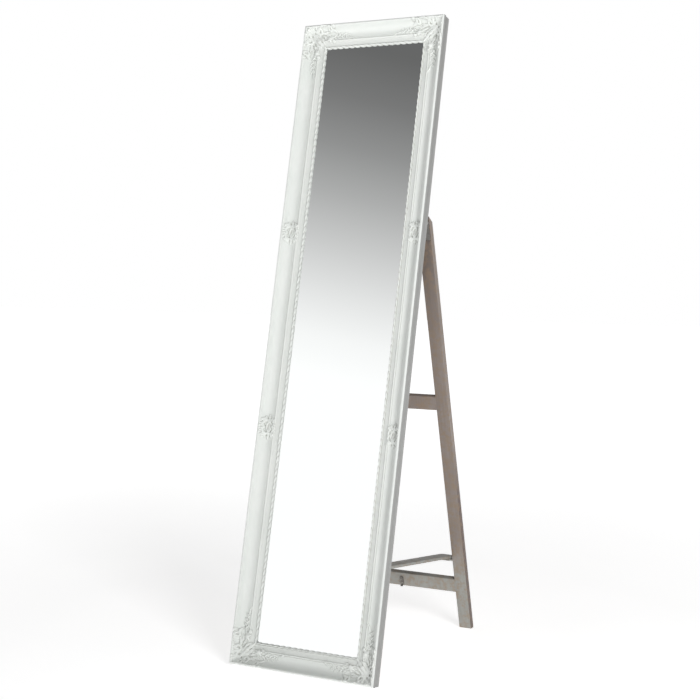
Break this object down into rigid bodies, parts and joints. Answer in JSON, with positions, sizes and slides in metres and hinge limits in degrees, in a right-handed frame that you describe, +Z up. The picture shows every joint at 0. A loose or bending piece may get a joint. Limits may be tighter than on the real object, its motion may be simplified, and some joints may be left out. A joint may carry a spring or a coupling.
{
  "type": "leaning floor mirror with easel stand",
  "caption": "Tall rectangular mirror in an ornate moulded frame, leaning back on a hinged easel stand with cross rails and fold-up spreader arms.",
  "frame": {"origin": "on the floor, under the middle of the standing object's bounding box", "axes": "+Z up, +X across the mirror towards its right as seen from the front, +Y away from the viewer towards the stand's feet"},
  "size_m": [0.4, 0.6086, 1.6102],
  "materials": {
    "antique_white": "painted and lightly antiqued",
    "stand_paint": "matt taupe paint",
    "mirror_glass": "silvered float glass",
    "hardboard": "raw hardboard",
    "steel": "zinc-plated"
  },
  "bodies": {
    "frame": {"arm_bracket_left": "steel", "arm_bracket_right": "steel", "arm_pin_left": "steel", "arm_pin_right": "steel", "backing_board": "hardboard", "corner_ornament_bottom_left": "antique_white", "corner_ornament_bottom_right": "antique_white", "corner_ornament_top_left": "antique_white", "corner_ornament_top_right": "antique_white", "hinge_frame_leaf_left": "steel", "hinge_frame_leaf_right": "steel", "hinge_pin_left": "steel", "hinge_pin_right": "steel", "hinge_screw_frame_left_1": "steel", "hinge_screw_frame_left_2": "steel", "hinge_screw_frame_right_1": "steel", "hinge_screw_frame_right_2": "steel", "mirror_glass": "mirror_glass", "rail_bottom": "antique_white", "rail_top": "antique_white", "side_ornament_lower_left": "antique_white", "side_ornament_lower_right": "antique_white", "side_ornament_upper_left": "antique_white", "side_ornament_upper_right": "antique_white", "sight_slip_bottom": "antique_white", "sight_slip_left": "antique_white", "sight_slip_right": "antique_white", "sight_slip_top": "antique_white", "stile_left": "antique_white", "stile_right": "antique_white", "turn_button_left_1": "steel", "turn_button_left_2": "steel", "turn_button_left_3": "steel", "turn_button_right_1": "steel", "turn_button_right_2": "steel", "turn_button_right_3": "steel"},
    "stand": {"arm_peg_left": "steel", "arm_peg_right": "steel", "catch_plate": "steel", "catch_screw_1": "steel", "catch_screw_2": "steel", "hinge_screw_stand_left_1": "steel", "hinge_screw_stand_left_2": "steel", "hinge_screw_stand_right_1": "steel", "hinge_screw_stand_right_2": "steel", "hinge_stand_leaf_left": "steel", "hinge_stand_leaf_right": "steel", "leg_left": "stand_paint", "leg_right": "stand_paint", "stand_rail_lower": "stand_paint", "stand_rail_middle": "stand_paint", "stand_rail_top": "stand_paint"},
    "arm_left": {"spreader_arm_left": "stand_paint", "arm_stop_left": "stand_paint"},
    "arm_right": {"spreader_arm_right": "stand_paint", "arm_stop_right": "stand_paint"}
  },
  "joints": [
    {"name": "stand_fold", "type": "hinge", "parent": "frame", "child": "stand", "pos_m": [0, 0.00115, 1.09064], "axis": [-1, 0, 0], "range_deg": [0, 28]},
    {"name": "arm_left_fold", "type": "hinge", "parent": "frame", "child": "arm_left", "pos_m": [-0.1435, -0.19899, 0.26145], "axis": [1, 0, 0], "range_deg": [0, 84]},
    {"name": "arm_right_fold", "type": "hinge", "parent": "frame", "child": "arm_right", "pos_m": [0.1435, -0.19899, 0.26145], "axis": [1, 0, 0], "range_deg": [0, 84]}
  ]
}
